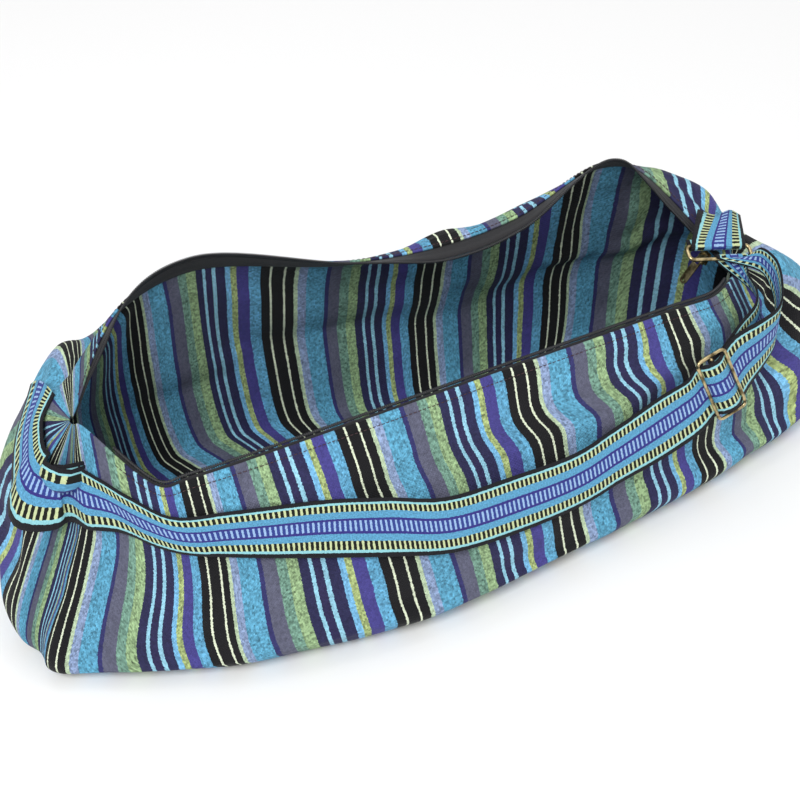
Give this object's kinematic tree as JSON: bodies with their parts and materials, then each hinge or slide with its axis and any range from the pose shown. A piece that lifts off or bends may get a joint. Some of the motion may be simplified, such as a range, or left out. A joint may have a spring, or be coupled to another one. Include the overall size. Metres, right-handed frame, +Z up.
{
  "type": "yoga mat bag",
  "caption": "Long soft woven-cloth bag lying on its base with its top zip open, striped, with a jacquard shoulder strap run through a metal slide and ring.",
  "frame": {"origin": "on the surface the bag lies on, under the middle of its bounding box", "axes": "+X along the bag towards the end with the strap ring, +Y from the front with the strap to the back, +Z up"},
  "size_m": [0.7654, 0.289, 0.2318],
  "materials": {
    "striped_cloth": "coarse hand-loomed cotton, matt",
    "strap_webbing": "figured woven band, matt",
    "zip_tape": "fine ribbed black tape",
    "zip_coil": "black nylon coil",
    "aged_brass": "aged, worn bright on the edges"
  },
  "bodies": {
    "bag": {"bag_body": "striped_cloth", "shoulder_strap": "strap_webbing", "strap_tab": "strap_webbing", "strap_ring": "aged_brass", "strap_slide": "aged_brass", "zip_tape_front": "zip_tape", "zip_tape_back": "zip_tape", "zip_coil_front": "zip_coil", "zip_coil_back": "zip_coil", "zip_slider": "aged_brass"},
    "zip_pull": {"zip_pull": "aged_brass"}
  },
  "joints": [
    {"name": "zip_pull_swing", "type": "hinge", "parent": "bag", "child": "zip_pull", "pos_m": [0.24693, 0.00314, 0.16838], "axis": [0, 1, 0], "range_deg": [-3, 70]}
  ]
}
